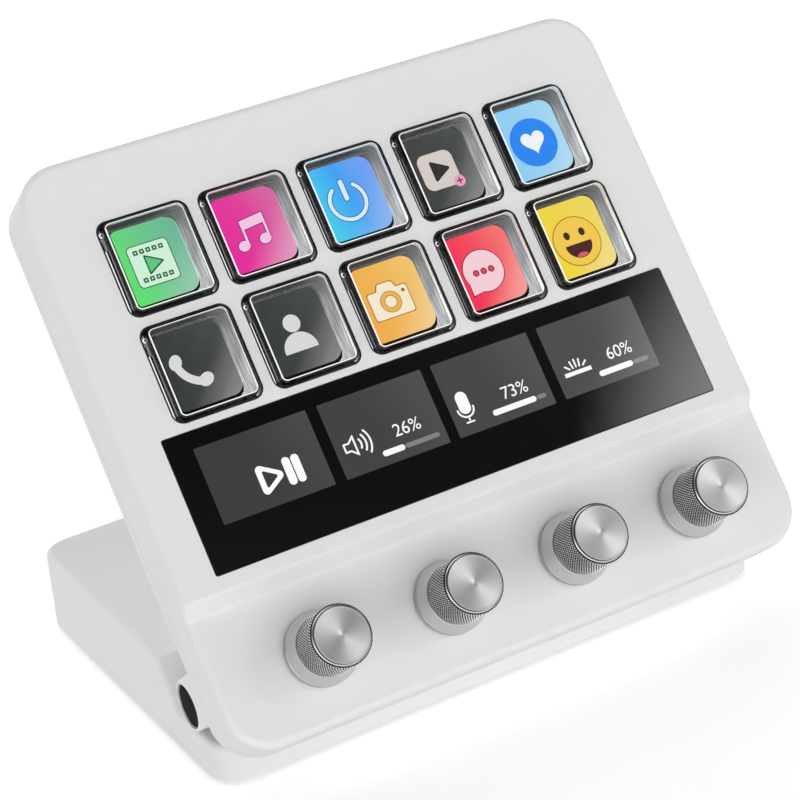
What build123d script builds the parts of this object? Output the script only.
from build123d import *
import os

# Macro keypad with knobs: a tilting head with ten clear keys, a display strip and four
# encoder knobs, carried by two friction hinges on a weighted wedge base.
#
# World frame, millimetres: origin on the desk at the centre of the base's footprint,
# +X to the user's right, +Y away from the user, +Z up.
# Head frame: x as above, y up along the panel, z out of the panel's face, origin at the
# centre of the upper face. The head is drawn flat there and placed on its hinge.

# ---------------------------------------------------------------- shared
SCREW_R = 1.4             # shank of every case screw
SCREW_HEAD_R = 2.6
SCREW_HEAD_H = 1.4
SCREW_DRIVE_R = 1.0       # round recess for the driver
SCREW_GRIP = 4.6          # thread length in a head post or arm
SCREW_TIP_GAP = 0.4       # screw tip to the end of its hole
PILOT_GAP = 0.03          # radial, screw to its hole
RUNNING_GAP = 0.05        # radial, in every turning fit
SEAT_GAP = 0.02           # radial, in every pressed fit
OVERSHOOT = 1.0           # how far a cutting shape runs past what it cuts
NEAR = 0.1                # reach for picking edges by place

# ---------------------------------------------------------------- head casing
PANEL_WIDTH = 140.0
PANEL_HEIGHT = 129.0
PANEL_CORNER = 10.0
FRONT_DEPTH = 12.0        # deep front shell
REAR_DEPTH = 3.4          # thin rear shell
HEAD_WALL = 2.2
REAR_FLOOR = 1.8
FACE_EDGE_ROUND = 1.8
REAR_EDGE_ROUND = 1.0
STEP_DEPTH = 3.2          # knob section below the upper face
STEP_FROM_BOTTOM = 33.0   # panel's bottom edge to the top of the ramp
STEP_RUN = 2.8            # ramp's length down the panel
STEP_SOFTEN = 1.4         # radius at the top and foot of the ramp
LIP_HEIGHT = 1.2          # rear shell's lip inside the front shell
LIP_THICK = 1.0
LIP_GAP = 0.15
POST_R = 2.8
POST_INSET_X = 4.7        # screw posts, from the panel's outline
POST_INSET_Y = 7.0
MIDDLE_POST_Y = 1.0       # the middle pair, from the panel's middle
CLAMP_R = 2.0             # rear shell's posts behind the boards
CLAMP_INSET = 6.0         # from the key field's sides
VENT_COUNT = 9
VENT_PITCH = 4.2
VENT_WIDTH = 1.8
VENT_LENGTH = 17.0
VENT_FROM_TOP = 22.0      # panel's top edge to the middle of the vents
VENT_SPREAD = 62.0        # between the middles of the two vent fields

# ---------------------------------------------------------------- display strip
GLASS_SIDE_MARGIN = 9.0   # panel's side to the glass
GLASS_WIDTH = PANEL_WIDTH - 2 * GLASS_SIDE_MARGIN
GLASS_HEIGHT = 29.9
GLASS_TO_STEP = 3.45      # glass to the top of the ramp
GLASS_THICK = 1.2
GLASS_CORNER = 0.6
GLASS_BEVEL = 0.15
GLASS_GAP = 0.1
GLASS_LEDGE = 2.4         # width of the ledge that carries the glass
BEZEL_INSET = 1.3         # display module inside the glass's outline

# ---------------------------------------------------------------- keys
KEY_COLUMNS = 5
KEY_ROWS = 2
KEY_SIDE_MARGIN = 12.0    # panel's side to the key field
KEY_TOP_MARGIN = 14.2     # panel's top edge to the key field
KEYS_TO_GLASS = 0.65      # key field to the glass
KEY_PITCH_X = (PANEL_WIDTH - 2 * KEY_SIDE_MARGIN) / KEY_COLUMNS
KEY_PITCH_Y = (PANEL_HEIGHT - KEY_TOP_MARGIN - KEYS_TO_GLASS - GLASS_HEIGHT - GLASS_TO_STEP
               - STEP_FROM_BOTTOM) / KEY_ROWS
KEY_BAR_X = 2.3           # casing between neighbouring openings
KEY_BAR_Y = 2.1
OPENING_CORNER = 2.6
COLLAR_GAP = 0.05         # frame's collar to the casing's opening
COLLAR_WALL = 0.4
COLLAR_DROP = 0.25        # collar's top below the face
FRAME_WEB = 0.6           # frame's web under the casing's face
KEY_GAP_X = 0.8           # key to collar at its sides
KEY_GAP_Y = 0.4           # key to collar above and below
KEY_CORNER = 1.7
KEY_PROUD = 1.8           # key's face above the panel
KEY_EDGE_BEVEL = 0.5
KEY_TRAVEL = 1.0
SKIRT_OUT = 0.5           # step along the key's two sides
SKIRT_DROP = 1.2          # skirt's top below the face
NOTCH_LENGTH = 4.6        # gap in the skirt beside the key's upper left corner
NOTCH_FROM_TOP = 0.5
HOOK_OUTER = 0.55         # moulded hook in the notch, standing out by this radius
HOOK_INNER = 0.3
HOOK_DROP = 0.9           # hook's top below the face
HOOK_THICK = 0.5
HOOK_FROM_TOP = 1.7       # key's upper edge to the hook's middle
KEY_FLANGE_OUT = 0.6      # retaining flange beyond the collar's bore
KEY_FLANGE_THICK = 0.8
KEY_FLANGE_GAP = 0.1      # flange to the underside of the frame's web
POCKET_GAP = 0.35         # flange to the ribs of the key frame
BOTTOMING_GAP = 0.15      # pressed key to the contact sheet
FIELD_MARGIN = 1.6        # key frame beyond the key field
SHEET_THICK = 0.25
WINDOW_INSET_X = 1.3      # visible picture inside a key's outline
WINDOW_INSET_Y = 1.0
WINDOW_CORNER = 2.8
KEY_DISPLAY_THICK = 2.4
BOARD_THICK = 1.6
BOARD_INSET = 2.0         # main board above the glass's bottom edge
CONTROLLER_SIZE = 10.0
CONTROLLER_THICK = 1.2
CONTROLLER_AT = (0.0, 6.0)
MEMORY_WIDTH = 8.0
MEMORY_HEIGHT = 6.0
MEMORY_THICK = 1.0
MEMORY_AT = (18.0, 6.0)  # one each side of the controller

# ---------------------------------------------------------------- knobs
KNOB_COUNT = 4
KNOB_PITCH = GLASS_WIDTH / KNOB_COUNT
KNOBS_FROM_BOTTOM = 15.4  # panel's bottom edge to the knob axes
KNOB_R = 6.55
KNOB_TOP = 13.2           # knob's top above the upper face
KNOB_FLANGE_R = KNOB_R + 1.3
KNOB_FLANGE_RIM = 0.9
KNOB_FLANGE_CONE = 1.9
CONE_LEDGE = 0.1          # cone's top beyond the grip
KNOB_LIFT = 0.7           # flange above the lower face
KNOB_TRAVEL = 0.5
NECK_R = KNOB_R - 0.3     # undercut between flange and grip
NECK_HEIGHT = 0.35
KNOB_CHAMFER = 0.6
RING_WIDTH = 0.45         # bright land between chamfer and groove
GROOVE_WIDTH = 0.4
GROOVE_DEPTH = 0.6
INSERT_THICK = 1.0
INSERT_DISH = 0.25        # hollow of the spun face
INSERT_BEVEL = 0.1
KNOB_SKIRT_WALL = 0.75
KNOB_HOLLOW = 3.3         # depth of the hollow under the knob
BUSHING_R = 3.5
BUSHING_PROUD = 2.4       # encoder bushing above the lower face
ENCODER_SIZE_X = 13.4
ENCODER_SIZE_Y = 12.4
ENCODER_HEIGHT = 6.5
ENCODER_BEVEL = 0.8
SHAFT_R = 3.0
SHAFT_FLAT = 1.5          # axis to the shaft's flat
SHAFT_TOP_GAP = 3.8       # knob's top to the shaft's top
SHAFT_END_GAP = 0.3       # shaft's top to the end of the knob's bore
PLUNGER_THICK = 0.8
PLUNGER_SIDE_GAP = 0.1
PLUNGER_END_GAP = 0.1     # pressed plunger to the housing's floor
PLUNGER_FLOOR = 0.3
NUT_FLATS = 9.0
NUT_THICK = 1.8
ENCODER_BOARD_THICK = 1.2
ENCODER_BOARD_HEIGHT = 20.0
ENCODER_BOARD_MARGIN = 3.5

# ---------------------------------------------------------------- socket
SOCKET_WIDTH = 8.94
SOCKET_HEIGHT = 3.26
SOCKET_WALL = 0.3
SOCKET_GAP = 0.25
SOCKET_FLOOR = 1.0
SOCKET_RECESS = 0.2       # socket's mouth inside the back
SOCKET_FROM_TOP = 46.0    # panel's top edge to the socket's middle
BLADE_WIDTH = 6.6         # contact blade in the socket
BLADE_THICK = 0.7
BLADE_RECESS = 1.0

# ---------------------------------------------------------------- base
BASE_WIDTH = PANEL_WIDTH - 3.6   # footprint across, at the lower rim
BASE_DEPTH = 102.0        # footprint front to back, at the lower rim
BASE_CORNER = 7.5         # footprint corner radius
BASE_DRAFT = 3.7          # lean of the side walls, degrees
BASE_WALL = 2.2
BASE_EDGE_ROUND = 1.4
RIM_HEIGHT = 1.0          # lower rim above the desk
APRON_TOP = 9.0           # top of the thin front apron that the hinges stand on
BLOCK_FRONT_TOP = 18.4    # top of the rear block at its front edge
BLOCK_BACK_TOP = 19.8     # top of the rear block at its back edge
APRON_DEPTH = 21.2        # footprint's front edge to the foot of the slope
SLOPE_RUN = 9.0           # front to back length of the slope up to the block
SLOPE_SHIFT = 0.43        # the inner slope's foot moves back by this share of the wall
COVER_THICK = 2.0
COVER_GAP = 0.2           # cover to shell wall, all round
COVER_BOSS_R = 3.4
COVER_BOSS_INSET = 13.1   # screw bosses, from the footprint's edges
COVER_SCREW_LENGTH = 5.0  # of the base's screws, head face to tip
MAT_THICK = 1.6
MAT_RECESS = 0.6          # depth of the mat's seat in the cover
MAT_MARGIN = 11.0         # footprint edge to mat edge
MAT_GROOVES = 8           # an even count leaves the middle flat
MAT_GROOVE_WIDTH = 1.6
MAT_GROOVE_DEPTH = 0.5
BALLAST_SIDE_MARGIN = 19.2
BALLAST_DEPTH = 50.0
BALLAST_THICK = 7.0
BALLAST_CORNER = 4.0
FENCE_GAP = 0.5           # ballast to the cover's fence
FENCE_WALL = 1.5
FENCE_HEIGHT = 3.0

# ---------------------------------------------------------------- hinge
TILT_REST = 55.7          # panel angle to the desk, degrees
HINGE_FROM_FRONT = 12.55  # footprint's front edge to the hinge axis
HINGE_FROM_BOTTOM = 16.55  # panel's bottom edge to the hinge axis, along the panel
ARM_REACH = 15.0          # head's back to the hinge axis
BARREL_R = 5.8
BARREL_GAP = 0.3          # arm's barrel to the apron
ARM_INSET = 0.2           # arm's end face inside the footprint's side
ARM_LENGTH = 18.0         # along the axis
ARM_EDGE_ROUND = 0.4
ARM_SCREW_SHIFT = 3.0     # each of an arm's two screws, from the arm's middle
KNUCKLE_LENGTH = 12.6
KNUCKLE_FOOT = 15.0       # front to back, where a knuckle meets the apron
HINGE_SIDE_GAP = 0.4      # arm to knuckle, along the axis
PIN_R = 2.5
PIN_HEAD_R = PIN_R + 1.5
PIN_HEAD_H = 1.5
WASHER_R = PIN_HEAD_R + 0.1
WASHER_THICK = 0.5
BUSH_R = PIN_R + 1.0
PLUG_R = 5.0
PLUG_DEPTH = 2.0
PLUG_INSET = 0.3          # plug face behind the arm's end face
PLUG_BEVEL = 0.4

# ---------------------------------------------------------------- derived places
FRONT_EDGE = -BASE_DEPTH / 2
PANEL_TOP = PANEL_HEIGHT / 2
PANEL_BOTTOM = -PANEL_HEIGHT / 2
STEP_TOP = PANEL_BOTTOM + STEP_FROM_BOTTOM
LOWER_FACE = -STEP_DEPTH
UPPER_UNDER = -HEAD_WALL
LOWER_UNDER = LOWER_FACE - HEAD_WALL
BACK = -(FRONT_DEPTH + REAR_DEPTH)
REAR_INNER = BACK + REAR_FLOOR
OPENING_WIDTH = KEY_PITCH_X - KEY_BAR_X
OPENING_HEIGHT = KEY_PITCH_Y - KEY_BAR_Y
COLLAR_INSET = COLLAR_GAP + COLLAR_WALL
KEY_WIDTH = OPENING_WIDTH - 2 * (COLLAR_INSET + KEY_GAP_X)
KEY_HEIGHT = OPENING_HEIGHT - 2 * (COLLAR_INSET + KEY_GAP_Y)
KEYS_Y = PANEL_TOP - KEY_TOP_MARGIN - KEY_ROWS * KEY_PITCH_Y / 2
GLASS_Y = STEP_TOP + GLASS_TO_STEP + GLASS_HEIGHT / 2
KNOBS_Y = PANEL_BOTTOM + KNOBS_FROM_BOTTOM
SOCKET_Y = PANEL_TOP - SOCKET_FROM_TOP
KEY_BOTTOM = UPPER_UNDER - FRAME_WEB - KEY_FLANGE_GAP - KEY_FLANGE_THICK
SHEET_TOP = KEY_BOTTOM - KEY_TRAVEL - BOTTOMING_GAP
KEY_DISPLAY_TOP = SHEET_TOP - SHEET_THICK
BOARD_TOP = KEY_DISPLAY_TOP - KEY_DISPLAY_THICK
BOARD_UNDER = BOARD_TOP - BOARD_THICK
FIELD_WIDTH = KEY_COLUMNS * KEY_PITCH_X + 2 * FIELD_MARGIN
FIELD_HEIGHT = KEY_ROWS * KEY_PITCH_Y + 2 * FIELD_MARGIN
ENCODER_UNDER = LOWER_UNDER - ENCODER_HEIGHT
BUSHING_TOP = LOWER_FACE + BUSHING_PROUD
KNOB_BOTTOM = LOWER_FACE + KNOB_LIFT
INSERT_R = KNOB_R - KNOB_CHAMFER - RING_WIDTH - GROOVE_WIDTH
SHAFT_TOP = KNOB_TOP - SHAFT_TOP_GAP
PLUNGER_BOTTOM = ENCODER_UNDER + PLUNGER_FLOOR + KNOB_TRAVEL + PLUNGER_END_GAP
SHAFT_BOTTOM = PLUNGER_BOTTOM + PLUNGER_THICK
COVER_TOP = RIM_HEIGHT + COVER_THICK
ARM_END_X = BASE_WIDTH / 2 - ARM_INSET
KNUCKLE_X = ARM_END_X - ARM_LENGTH - HINGE_SIDE_GAP
PIN_SEAT_X = ARM_END_X - PLUG_DEPTH - PIN_HEAD_H - WASHER_THICK - 2 * RUNNING_GAP
HINGE_Y = FRONT_EDGE + HINGE_FROM_FRONT
HINGE_Z = APRON_TOP + BARREL_R + BARREL_GAP
HINGE_UP_PANEL = PANEL_BOTTOM + HINGE_FROM_BOTTOM
HINGE_BEHIND = BACK - ARM_REACH
BALLAST_WIDTH = BASE_WIDTH - 2 * BALLAST_SIDE_MARGIN
BALLAST_Y = (FRONT_EDGE + APRON_DEPTH + SLOPE_RUN + BASE_DEPTH / 2 - BASE_WALL) / 2
SIDES = (-1, 1)

KNOB_PLACES = [Pos(0, KNOBS_Y) * place for place in GridLocations(KNOB_PITCH, 1, KNOB_COUNT, 1)]
KEY_PLACES = [
    Pos((column - (KEY_COLUMNS - 1) / 2) * KEY_PITCH_X,
        KEYS_Y + ((KEY_ROWS - 1) / 2 - row) * KEY_PITCH_Y)
    for row in range(KEY_ROWS)
    for column in range(KEY_COLUMNS)
]
POST_X = PANEL_WIDTH / 2 - POST_INSET_X
POST_Y = PANEL_HEIGHT / 2 - POST_INSET_Y
POST_PLACES = [Pos(side * POST_X, y) for side in SIDES for y in (-POST_Y, MIDDLE_POST_Y, POST_Y)]
BOSS_X = BASE_WIDTH / 2 - COVER_BOSS_INSET
BOSS_Y = BASE_DEPTH / 2 - COVER_BOSS_INSET
BOSS_PLACES = [Pos(side * BOSS_X, end * BOSS_Y) for side in SIDES for end in SIDES]
ARM_SCREW_PLACES = {
    side: [Pos(side * (ARM_END_X - ARM_LENGTH / 2), HINGE_UP_PANEL + end * ARM_SCREW_SHIFT) for end in SIDES]
    for side in SIDES
}
CLAMP_PLACES = [Pos(side * (FIELD_WIDTH / 2 - CLAMP_INSET), y) for side in SIDES for y in (KEYS_Y, GLASS_Y)]

HEAD = Pos(0, HINGE_Y, HINGE_Z) * Rot(TILT_REST, 0, 0) * Pos(0, -HINGE_UP_PANEL, -HINGE_BEHIND)


# ================================================================ helpers
def slab(sketch, low, high):
    """A sketch in XY made solid from height low to height high."""
    return extrude(Pos(0, 0, low) * sketch, high - low)


def across(profile, start, end):
    """A (Y, Z) profile made solid along X from start to end."""
    placed = Plane(origin=(start, 0, 0), x_dir=(0, 1, 0), z_dir=(1, 0, 0)) * profile
    return extrude(placed, end - start)


def rod_x(radius, start, end, y, z):
    """A round bar along X between two places in either order."""
    return across(Pos(y, z) * Circle(radius), min(start, end), max(start, end))


def polygon(*points):
    """A flat face through the given points."""
    return make_face(Polyline(*points, close=True))


def countersunk_screw(grip):
    """A case screw, head down: its flat head face at z = 0, its tip up at z = grip."""
    head = Cone(SCREW_HEAD_R, SCREW_R, SCREW_HEAD_H, align=(Align.CENTER, Align.CENTER, Align.MIN))
    shank = Cylinder(SCREW_R, grip, align=(Align.CENTER, Align.CENTER, Align.MIN))
    drive = Cylinder(SCREW_DRIVE_R, SCREW_HEAD_H / 2, align=(Align.CENTER, Align.CENTER, Align.MIN))
    return head + shank - drive


def screw_hole(depth):
    """The clearance for a case screw, from its head face up to depth."""
    head = Cone(SCREW_HEAD_R + PILOT_GAP, SCREW_R + PILOT_GAP, SCREW_HEAD_H + PILOT_GAP,
                align=(Align.CENTER, Align.CENTER, Align.MIN))
    shank = Cylinder(SCREW_R + PILOT_GAP, depth, align=(Align.CENTER, Align.CENTER, Align.MIN))
    return head + shank


# ================================================================ base
def base_outline(inset):
    """The footprint, drawn in by inset."""
    return RectangleRounded(BASE_WIDTH - 2 * inset, BASE_DEPTH - 2 * inset, BASE_CORNER - inset)


def base_profile(drop):
    """The base's side view, its top surfaces lowered by drop."""
    front = FRONT_EDGE - OVERSHOOT
    back = BASE_DEPTH / 2 + OVERSHOOT
    slope_foot = FRONT_EDGE + APRON_DEPTH + drop * SLOPE_SHIFT
    slope_head = slope_foot + SLOPE_RUN
    return polygon(
        (front, 0),
        (front, APRON_TOP - drop),
        (slope_foot, APRON_TOP - drop),
        (slope_head, BLOCK_FRONT_TOP - drop),
        (back, BLOCK_BACK_TOP - drop),
        (back, 0),
    )


def base_form(inset, drop):
    """The wedge with its leaning walls, drawn in by inset and lowered by drop."""
    walls = extrude(Pos(0, 0, RIM_HEIGHT) * base_outline(inset), BLOCK_BACK_TOP, taper=BASE_DRAFT)
    return walls & across(base_profile(drop), -BASE_WIDTH, BASE_WIDTH)


def knuckle(side):
    """One hinge knuckle of the base: a barrel on a pedestal, on the side given by its sign."""
    start, end = sorted((side * KNUCKLE_X, side * (KNUCKLE_X - KNUCKLE_LENGTH)))
    sunk = APRON_TOP - BASE_WALL / 2
    foot = polygon(
        (HINGE_Y - KNUCKLE_FOOT / 2, sunk),
        (HINGE_Y - KNUCKLE_FOOT / 2, APRON_TOP),
        (HINGE_Y - BARREL_R, HINGE_Z),
        (HINGE_Y + BARREL_R, HINGE_Z),
        (HINGE_Y + KNUCKLE_FOOT / 2, APRON_TOP),
        (HINGE_Y + KNUCKLE_FOOT / 2, sunk),
    )
    barrel = Pos(HINGE_Y, HINGE_Z) * Circle(BARREL_R)
    hole = rod_x(PIN_R + SEAT_GAP, start - OVERSHOOT, end + OVERSHOOT, HINGE_Y, HINGE_Z)
    return across(foot + barrel, start, end) - hole


def base_shell():
    """The white top casing of the base, open below."""
    form = base_form(0, 0)
    upper = form.edges().filter_by(lambda edge: edge.bounding_box().min.Z > APRON_TOP - NEAR)
    rounded = fillet(upper, BASE_EDGE_ROUND)
    shell = rounded - base_form(BASE_WALL, BASE_WALL)
    boss = slab(Circle(COVER_BOSS_R), COVER_TOP, BLOCK_BACK_TOP)
    posts = Part() + [place * boss for place in BOSS_PLACES]
    shell += posts & base_form(BASE_WALL / 2, BASE_WALL / 2)
    shell += [knuckle(side) for side in SIDES]
    pilot = Pos(0, 0, MAT_THICK) * screw_hole(COVER_SCREW_LENGTH + PILOT_GAP)
    return shell - [place * pilot for place in BOSS_PLACES]


def base_cover():
    """The plate that closes the base from below, with the seat of the mat."""
    plate = slab(base_outline(BASE_WALL + COVER_GAP), RIM_HEIGHT, COVER_TOP)
    seat = slab(mat_outline(-COVER_GAP), 0, RIM_HEIGHT + MAT_RECESS)
    hole = Pos(0, 0, MAT_THICK) * screw_hole(COVER_THICK)
    ring = ballast_sketch(FENCE_GAP + FENCE_WALL) - ballast_sketch(FENCE_GAP)
    fence = Pos(0, BALLAST_Y) * slab(ring, COVER_TOP, COVER_TOP + FENCE_HEIGHT)
    return plate + fence - seat - [place * hole for place in BOSS_PLACES]


def mat_outline(inset):
    """The mat's outline, drawn in by inset."""
    return RectangleRounded(BASE_WIDTH - 2 * (MAT_MARGIN + inset), BASE_DEPTH - 2 * (MAT_MARGIN + inset),
                            BASE_CORNER - inset)


def desk_mat():
    """The rubber mat that grips the desk, with shallow cross grooves either side of the middle."""
    mat = slab(mat_outline(0), 0, MAT_THICK)
    pitch = (BASE_WIDTH - 2 * MAT_MARGIN) / (MAT_GROOVES + 1)
    groove = slab(Rectangle(MAT_GROOVE_WIDTH, BASE_DEPTH), 0, MAT_GROOVE_DEPTH)
    return mat - [place * groove for place in GridLocations(pitch, 1, MAT_GROOVES, 1).locations]


def ballast_sketch(grow):
    """The ballast's outline, larger by grow on each side."""
    return RectangleRounded(BALLAST_WIDTH + 2 * grow, BALLAST_DEPTH + 2 * grow, BALLAST_CORNER + grow)


def ballast_plate():
    """The steel weight in the rear block, laid on the cover."""
    return Pos(0, BALLAST_Y) * slab(ballast_sketch(0), COVER_TOP, COVER_TOP + BALLAST_THICK)


def cover_screws():
    """Four screws through the cover, under the mat."""
    screw = Pos(0, 0, MAT_THICK) * countersunk_screw(COVER_SCREW_LENGTH)
    return Compound(children=[place * screw for place in BOSS_PLACES])


# ================================================================ hinge
def hinge_pins():
    """Two steel pins, pressed into the knuckles, with their heads in the arms."""
    pins = []
    seat = PIN_SEAT_X + WASHER_THICK + RUNNING_GAP
    tip = KNUCKLE_X - KNUCKLE_LENGTH
    for side in SIDES:
        shank = rod_x(PIN_R, side * tip, side * seat, HINGE_Y, HINGE_Z)
        head = rod_x(PIN_HEAD_R, side * seat, side * (seat + PIN_HEAD_H), HINGE_Y, HINGE_Z)
        pins.append(shank + head)
    return Compound(children=pins)


def hinge_washers():
    """Two friction washers under the pin heads."""
    washers = []
    for side in SIDES:
        near, far = side * (PIN_SEAT_X + RUNNING_GAP), side * (PIN_SEAT_X + WASHER_THICK)
        ring = rod_x(WASHER_R, near, far, HINGE_Y, HINGE_Z)
        washers.append(ring - rod_x(PIN_R + RUNNING_GAP, near, far, HINGE_Y, HINGE_Z))
    return Compound(children=washers)


def hinge_arm(side):
    """One arm of the head, drawn in the head frame: a web square to the back, ending in a barrel."""
    near, far = side * (ARM_END_X - ARM_LENGTH), side * ARM_END_X
    start, end = sorted((near, far))
    web = Pos(HINGE_UP_PANEL, (HINGE_BEHIND + BACK) / 2) * Rectangle(2 * BARREL_R, ARM_REACH)
    arm = across(web + Pos(HINGE_UP_PANEL, HINGE_BEHIND) * Circle(BARREL_R), start, end)
    ends = arm.edges().filter_by(lambda edge: abs(abs(edge.center().X) - ARM_END_X) < NEAR)
    arm = fillet(ends.filter_by(lambda edge: edge.center().Z < BACK - NEAR), ARM_EDGE_ROUND)
    arm -= arm_bore(PLUG_R + SEAT_GAP, side * (ARM_END_X - PLUG_DEPTH), far + side * OVERSHOOT)
    arm -= arm_bore(WASHER_R + 2 * RUNNING_GAP, side * PIN_SEAT_X, far)
    arm -= arm_bore(BUSH_R + SEAT_GAP, near - side * OVERSHOOT, side * PIN_SEAT_X)
    pilot = slab(Circle(SCREW_R + PILOT_GAP), BACK - SCREW_GRIP, BACK + OVERSHOOT)
    return arm - [place * pilot for place in ARM_SCREW_PLACES[side]]


def arm_bore(radius, start, end):
    """A round bar on the hinge axis, in the head frame."""
    return rod_x(radius, start, end, HINGE_UP_PANEL, HINGE_BEHIND)


def hinge_bushes():
    """Two bronze bushes in the arms that the pins turn in, drawn in the head frame."""
    bushes = []
    for side in SIDES:
        near, far = side * (ARM_END_X - ARM_LENGTH), side * PIN_SEAT_X
        bushes.append(arm_bore(BUSH_R, near, far) - arm_bore(PIN_R + RUNNING_GAP, near, far))
    return Compound(children=bushes)


def hinge_plugs():
    """Two black plugs that close the arms' ends, drawn in the head frame."""
    plugs = []
    for side in SIDES:
        low, high = side * (ARM_END_X - PLUG_DEPTH + RUNNING_GAP), side * (ARM_END_X - PLUG_INSET)
        disc = arm_bore(PLUG_R, low, high)
        rim = disc.edges().filter_by(lambda edge: abs(edge.center().X - high) < NEAR)
        plugs.append(chamfer(rim, PLUG_BEVEL))
    return Compound(children=plugs)


def arm_screws():
    """Four pan-head screws from inside the rear shell into the arms, drawn in the head frame."""
    head = slab(Circle(SCREW_HEAD_R), REAR_INNER, REAR_INNER + SCREW_HEAD_H)
    shank = slab(Circle(SCREW_R), BACK - SCREW_GRIP + SCREW_TIP_GAP, REAR_INNER)
    screw = head + shank
    return Compound(children=[place * screw for side in SIDES for place in ARM_SCREW_PLACES[side]])


# ================================================================ head casing
def below_face(drop):
    """Everything under the stepped face, lowered by drop."""
    far, deep = PANEL_HEIGHT, 2 * BACK
    line = Polyline((far, -drop), (STEP_TOP, -drop), (STEP_TOP - STEP_RUN, LOWER_FACE - drop),
                    (-far, LOWER_FACE - drop))
    corners = line.vertices().filter_by(lambda vertex: abs(vertex.X) < far - NEAR)
    top = fillet(corners, STEP_SOFTEN)
    ends = Polyline((-far, LOWER_FACE - drop), (-far, deep), (far, deep), (far, -drop))
    return across(make_face(top.edges() + ends.edges()), -PANEL_WIDTH, PANEL_WIDTH)


def panel_outline(inset):
    """The head's outline, drawn in by inset."""
    return RectangleRounded(PANEL_WIDTH - 2 * inset, PANEL_HEIGHT - 2 * inset, PANEL_CORNER - inset)


def opening_sketch(grow):
    """A key opening's outline, larger by grow on each side."""
    return RectangleRounded(OPENING_WIDTH + 2 * grow, OPENING_HEIGHT + 2 * grow, OPENING_CORNER + grow)


def front_shell():
    """The deep white front casing with its stepped face, key openings, glass seat and knob holes."""
    body = slab(panel_outline(0), -FRONT_DEPTH, 0) & below_face(0)
    rim = body.edges().filter_by(
        lambda edge: edge.center().Z > LOWER_FACE - NEAR and not crosses_face(edge))
    body = fillet(rim, FACE_EDGE_ROUND)
    cavity = slab(panel_outline(HEAD_WALL), -FRONT_DEPTH, 0) & below_face(HEAD_WALL)
    post = slab(Circle(POST_R), -FRONT_DEPTH, -HEAD_WALL / 2)
    posts = Part() + [place * post for place in POST_PLACES]
    half_wall = slab(panel_outline(HEAD_WALL / 2), -FRONT_DEPTH, 0) & below_face(HEAD_WALL / 2)
    body = body - cavity + (posts & half_wall)
    opening = slab(opening_sketch(0), -FRONT_DEPTH, OVERSHOOT)
    body -= [place * opening for place in KEY_PLACES]
    body -= Pos(0, GLASS_Y) * slab(glass_sketch(GLASS_GAP), -GLASS_THICK, OVERSHOOT)
    body -= Pos(0, GLASS_Y) * slab(glass_sketch(-GLASS_LEDGE), -FRONT_DEPTH, OVERSHOOT)
    hole = slab(Circle(BUSHING_R + SEAT_GAP), -FRONT_DEPTH, OVERSHOOT)
    body -= [place * hole for place in KNOB_PLACES]
    pilot = slab(Circle(SCREW_R + PILOT_GAP), -FRONT_DEPTH, -FRONT_DEPTH + SCREW_GRIP + SCREW_TIP_GAP)
    return body - [place * pilot for place in POST_PLACES]


def crosses_face(edge):
    """True for the edges of the ramp's softened bends, which run right across the panel."""
    inside = abs(edge.center().Y) < PANEL_TOP - OVERSHOOT
    return inside and edge.length > PANEL_WIDTH - OVERSHOOT


def glass_sketch(grow):
    """The glass strip's outline, larger by grow on each side."""
    return RectangleRounded(GLASS_WIDTH + 2 * grow, GLASS_HEIGHT + 2 * grow, GLASS_CORNER)


def rear_shell():
    """The thin rear casing with its tongue, vents, socket slot and screw seats."""
    body = slab(panel_outline(0), BACK, -FRONT_DEPTH)
    back_rim = body.edges().filter_by(lambda edge: edge.center().Z < BACK + NEAR)
    body = fillet(back_rim, REAR_EDGE_ROUND)
    body -= slab(panel_outline(HEAD_WALL), REAR_INNER, 0)
    lip_ring = panel_outline(HEAD_WALL + LIP_GAP) - panel_outline(HEAD_WALL + LIP_GAP + LIP_THICK)
    lip = slab(lip_ring, REAR_INNER, -FRONT_DEPTH + LIP_HEIGHT)
    relief = slab(Circle(POST_R + 2 * LIP_GAP), -FRONT_DEPTH, 0)
    body += lip - [place * relief for place in POST_PLACES]
    root = REAR_INNER - REAR_FLOOR / 2
    seat = slab(Circle(POST_R), root, -FRONT_DEPTH)
    body += (Part() + [place * seat for place in POST_PLACES]) & slab(panel_outline(HEAD_WALL / 2), BACK, 0)
    clamp = slab(Circle(CLAMP_R), root, BOARD_UNDER)
    body += [place * clamp for place in CLAMP_PLACES]
    stop = slab(Circle(CLAMP_R), root, ENCODER_UNDER - ENCODER_BOARD_THICK)
    body += [Pos(x, KNOBS_Y) * stop for x in (-KNOB_PITCH, 0, KNOB_PITCH)]
    vent = slab(SlotOverall(VENT_LENGTH, VENT_WIDTH, rotation=90), BACK - OVERSHOOT, 0)
    for side in SIDES:
        middle = Pos(side * VENT_SPREAD / 2, PANEL_TOP - VENT_FROM_TOP)
        body -= [middle * place * vent for place in GridLocations(VENT_PITCH, 1, VENT_COUNT, 1)]
    body -= Pos(0, SOCKET_Y) * slab(socket_sketch(SOCKET_GAP), BACK - OVERSHOOT, 0)
    hole = Pos(0, 0, BACK) * screw_hole(REAR_DEPTH + OVERSHOOT)
    body -= [place * hole for place in POST_PLACES]
    arm_hole = slab(Circle(SCREW_R + PILOT_GAP), BACK - OVERSHOOT, 0)
    return body - [place * arm_hole for side in SIDES for place in ARM_SCREW_PLACES[side]]


def head_screws():
    """Six screws from the back into the front shell's posts."""
    screw = Pos(0, 0, BACK) * countersunk_screw(REAR_DEPTH + SCREW_GRIP)
    return Compound(children=[place * screw for place in POST_PLACES])


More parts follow.
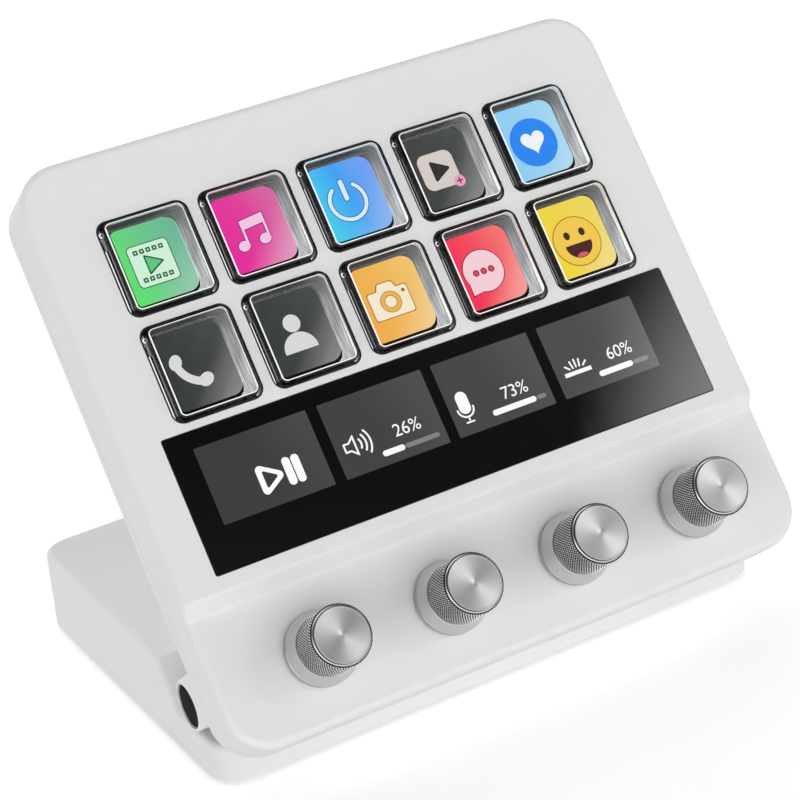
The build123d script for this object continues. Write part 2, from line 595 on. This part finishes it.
# ================================================================ displays and boards
def glass_strip():
    """The black cover glass of the display strip, flush with the upper face."""
    glass = slab(glass_sketch(0), -GLASS_THICK, 0)
    return Pos(0, GLASS_Y) * chamfer(glass.faces().sort_by(Axis.Z)[-1].edges(), GLASS_BEVEL)


def strip_display():
    """The display module between the glass's ledge and the board, with a raised picture area."""
    bezel = slab(glass_sketch(-BEZEL_INSET), BOARD_TOP, UPPER_UNDER)
    picture = slab(glass_sketch(-GLASS_LEDGE - GLASS_GAP), UPPER_UNDER, -GLASS_THICK)
    return Pos(0, GLASS_Y) * (bezel + picture)


def key_field():
    """The outline shared by the key frame, contact sheet and key display."""
    return Pos(0, KEYS_Y) * Rectangle(FIELD_WIDTH, FIELD_HEIGHT)


def key_frame():
    """The black frame of the keys: ribs and a web under the face, and a collar in each opening."""
    collar = slab(opening_sketch(-COLLAR_GAP), UPPER_UNDER, -COLLAR_DROP)
    bore = slab(opening_sketch(-COLLAR_INSET), SHEET_TOP, 0)
    pocket_outline = opening_sketch(KEY_FLANGE_OUT + POCKET_GAP - COLLAR_INSET)
    pocket = slab(pocket_outline, SHEET_TOP, UPPER_UNDER - FRAME_WEB)
    frame = slab(key_field(), SHEET_TOP, UPPER_UNDER) + [place * collar for place in KEY_PLACES]
    return frame - [place * (bore + pocket) for place in KEY_PLACES]


def contact_sheet():
    """The black contact sheet on the display, with a window for each key's picture."""
    outline = RectangleRounded(KEY_WIDTH - 2 * WINDOW_INSET_X, KEY_HEIGHT - 2 * WINDOW_INSET_Y, WINDOW_CORNER)
    window = slab(outline, KEY_DISPLAY_TOP, SHEET_TOP)
    return slab(key_field(), KEY_DISPLAY_TOP, SHEET_TOP) - [place * window for place in KEY_PLACES]


def key_display():
    """The display panel under the keys."""
    return slab(key_field(), BOARD_TOP, KEY_DISPLAY_TOP)


def main_board():
    """The circuit board behind both displays, with its controller and memory chips."""
    top = KEYS_Y + FIELD_HEIGHT / 2
    bottom = GLASS_Y - GLASS_HEIGHT / 2 + BOARD_INSET
    board = Pos(0, (top + bottom) / 2) * slab(Rectangle(FIELD_WIDTH, top - bottom), BOARD_UNDER, BOARD_TOP)
    controller = slab(Rectangle(CONTROLLER_SIZE, CONTROLLER_SIZE), BOARD_UNDER - CONTROLLER_THICK, BOARD_UNDER)
    memory = slab(Rectangle(MEMORY_WIDTH, MEMORY_HEIGHT), BOARD_UNDER - MEMORY_THICK, BOARD_UNDER)
    memory_x, memory_y = MEMORY_AT
    chips = [Pos(*CONTROLLER_AT) * controller] + [Pos(side * memory_x, memory_y) * memory for side in SIDES]
    return board + chips


def socket_sketch(grow):
    """The socket's round-ended outline, larger by grow on each side."""
    return SlotOverall(SOCKET_WIDTH + 2 * grow, SOCKET_HEIGHT + 2 * grow)


def usb_socket():
    """The metal cable socket on the main board, open through the rear shell."""
    can = slab(socket_sketch(0), BACK + SOCKET_RECESS, BOARD_UNDER)
    hollow = slab(socket_sketch(-SOCKET_WALL), BACK, BOARD_UNDER - SOCKET_FLOOR)
    blade = slab(Rectangle(BLADE_WIDTH, BLADE_THICK), BACK + BLADE_RECESS, BOARD_UNDER)
    return Pos(0, SOCKET_Y) * (can - hollow + blade)


# ================================================================ keys
def keycap(place):
    """One clear key: a bevelled block, a stepped skirt with a hook in its notch, and a flange."""
    block = slab(RectangleRounded(KEY_WIDTH, KEY_HEIGHT, KEY_CORNER), KEY_BOTTOM, KEY_PROUD)
    block = chamfer(block.faces().sort_by(Axis.Z)[-1].edges(), KEY_EDGE_BEVEL)
    skirt = slab(RectangleRounded(KEY_WIDTH + 2 * SKIRT_OUT, KEY_HEIGHT, KEY_CORNER), KEY_BOTTOM, -SKIRT_DROP)
    notch_y = KEY_HEIGHT / 2 - NOTCH_FROM_TOP - NOTCH_LENGTH / 2
    notch = Pos(-KEY_WIDTH / 2 - SKIRT_OUT, notch_y) * Rectangle(2 * SKIRT_OUT, NOTCH_LENGTH)
    skirt -= slab(notch, KEY_BOTTOM + KEY_FLANGE_THICK, 0)
    ring = Circle(HOOK_OUTER) - Circle(HOOK_INNER)
    hook = Pos(-KEY_WIDTH / 2, KEY_HEIGHT / 2 - HOOK_FROM_TOP) * slab(ring, -HOOK_DROP - HOOK_THICK, -HOOK_DROP)
    flange = slab(opening_sketch(KEY_FLANGE_OUT - COLLAR_INSET), KEY_BOTTOM, KEY_BOTTOM + KEY_FLANGE_THICK)
    return place * (block + skirt + hook + flange)


# ================================================================ knobs
def encoder_housing():
    """A push encoder's body and threaded bushing, bored for its shaft."""
    body = slab(Rectangle(ENCODER_SIZE_X, ENCODER_SIZE_Y), ENCODER_UNDER, LOWER_UNDER)
    body = chamfer(body.edges().filter_by(Axis.Z), ENCODER_BEVEL)
    bushing = slab(Circle(BUSHING_R), LOWER_UNDER, BUSHING_TOP)
    bore = slab(Circle(SHAFT_R + RUNNING_GAP), ENCODER_UNDER + PLUNGER_FLOOR, BUSHING_TOP)
    return body + bushing - bore


def encoder_plunger():
    """The switch plunger under the shaft, which the press drives but which doesn't turn."""
    return slab(Circle(SHAFT_R - PLUNGER_SIDE_GAP), PLUNGER_BOTTOM, SHAFT_BOTTOM)


def shaft_section(gap):
    """The encoder shaft's D-shaped end, larger by gap."""
    flat = Pos(0, SHAFT_FLAT + gap + SHAFT_R) * Rectangle(4 * SHAFT_R, 2 * SHAFT_R)
    return Circle(SHAFT_R + gap) - flat


def encoder_shaft():
    """The turning shaft: round in the bushing, flatted above it."""
    round_end = slab(Circle(SHAFT_R), SHAFT_BOTTOM, BUSHING_TOP)
    return round_end + slab(shaft_section(0), BUSHING_TOP, SHAFT_TOP)


def encoder_nuts():
    """The four bushing nuts on the lower face, under the knobs."""
    nut = slab(RegularPolygon(NUT_FLATS / 2, 6, major_radius=False), LOWER_FACE, LOWER_FACE + NUT_THICK)
    nut -= slab(Circle(BUSHING_R + SEAT_GAP), LOWER_FACE, LOWER_FACE + NUT_THICK)
    return Compound(children=[place * nut for place in KNOB_PLACES])


def knob_body():
    """The turned aluminium knob: flange, undercut, grip, chamfer, bright land and groove."""
    cone_top = KNOB_BOTTOM + KNOB_FLANGE_RIM + KNOB_FLANGE_CONE
    neck_top = cone_top + NECK_HEIGHT
    seat = KNOB_TOP - INSERT_THICK
    land = KNOB_R - KNOB_CHAMFER - RING_WIDTH
    ceiling = KNOB_BOTTOM + KNOB_HOLLOW
    profile = polygon(
        (0, ceiling),
        (KNOB_R - KNOB_SKIRT_WALL, ceiling),
        (KNOB_R - KNOB_SKIRT_WALL, KNOB_BOTTOM),
        (KNOB_FLANGE_R, KNOB_BOTTOM),
        (KNOB_FLANGE_R, KNOB_BOTTOM + KNOB_FLANGE_RIM),
        (KNOB_R + CONE_LEDGE, cone_top),
        (NECK_R, cone_top),
        (NECK_R, neck_top),
        (KNOB_R, neck_top),
        (KNOB_R, KNOB_TOP - KNOB_CHAMFER),
        (KNOB_R - KNOB_CHAMFER, KNOB_TOP),
        (land, KNOB_TOP),
        (land, KNOB_TOP - GROOVE_DEPTH),
        (INSERT_R + SEAT_GAP, KNOB_TOP - GROOVE_DEPTH),
        (INSERT_R + SEAT_GAP, seat),
        (0, seat),
    )
    bore = slab(shaft_section(SEAT_GAP), BUSHING_TOP, SHAFT_TOP + SHAFT_END_GAP)
    return revolve(Plane.XZ * profile, Axis.Z) - bore


def knob_face():
    """The spun face insert, slightly dished."""
    profile = polygon(
        (0, KNOB_TOP - INSERT_THICK),
        (INSERT_R, KNOB_TOP - INSERT_THICK),
        (INSERT_R, KNOB_TOP - INSERT_BEVEL),
        (INSERT_R - INSERT_BEVEL, KNOB_TOP),
        (0, KNOB_TOP - INSERT_DISH),
    )
    return revolve(Plane.XZ * profile, Axis.Z)


def encoder_board():
    """The narrow circuit board that carries the four encoders."""
    width = (KNOB_COUNT - 1) * KNOB_PITCH + ENCODER_SIZE_X + 2 * ENCODER_BOARD_MARGIN
    outline = Rectangle(width, ENCODER_BOARD_HEIGHT)
    return Pos(0, KNOBS_Y) * slab(outline, ENCODER_UNDER - ENCODER_BOARD_THICK, ENCODER_UNDER)


# ================================================================ assembly
def build_nodes():
    """Every piece by name, in the world frame."""
    nodes = {
        "base_shell": base_shell(),
        "base_cover": base_cover(),
        "desk_mat": desk_mat(),
        "ballast_plate": ballast_plate(),
        "cover_screws": cover_screws(),
        "hinge_pins": hinge_pins(),
        "hinge_washers": hinge_washers(),
    }
    head = {
        "front_shell": front_shell(),
        "rear_shell": rear_shell(),
        "head_screws": head_screws(),
        "hinge_arm_left": hinge_arm(-1),
        "hinge_arm_right": hinge_arm(1),
        "hinge_bushes": hinge_bushes(),
        "hinge_plugs": hinge_plugs(),
        "arm_screws": arm_screws(),
        "glass_strip": glass_strip(),
        "strip_display": strip_display(),
        "key_frame": key_frame(),
        "contact_sheet": contact_sheet(),
        "key_display": key_display(),
        "main_board": main_board(),
        "usb_socket": usb_socket(),
        "encoder_board": encoder_board(),
        "encoder_nuts": encoder_nuts(),
    }
    for number, place in enumerate(KEY_PLACES, 1):
        head[f"keycap_{number}"] = keycap(place)
    for number, place in enumerate(KNOB_PLACES, 1):
        head[f"encoder_housing_{number}"] = place * encoder_housing()
        head[f"encoder_plunger_{number}"] = place * encoder_plunger()
        head[f"encoder_shaft_{number}"] = place * encoder_shaft()
        head[f"knob_body_{number}"] = place * knob_body()
        head[f"knob_face_{number}"] = place * knob_face()
    nodes.update({name: HEAD * piece for name, piece in head.items()})
    return nodes


os.makedirs("parts", exist_ok=True)
for node_name, node_shape in build_nodes().items():
    export_step(node_shape, f"parts/{node_name}.step")
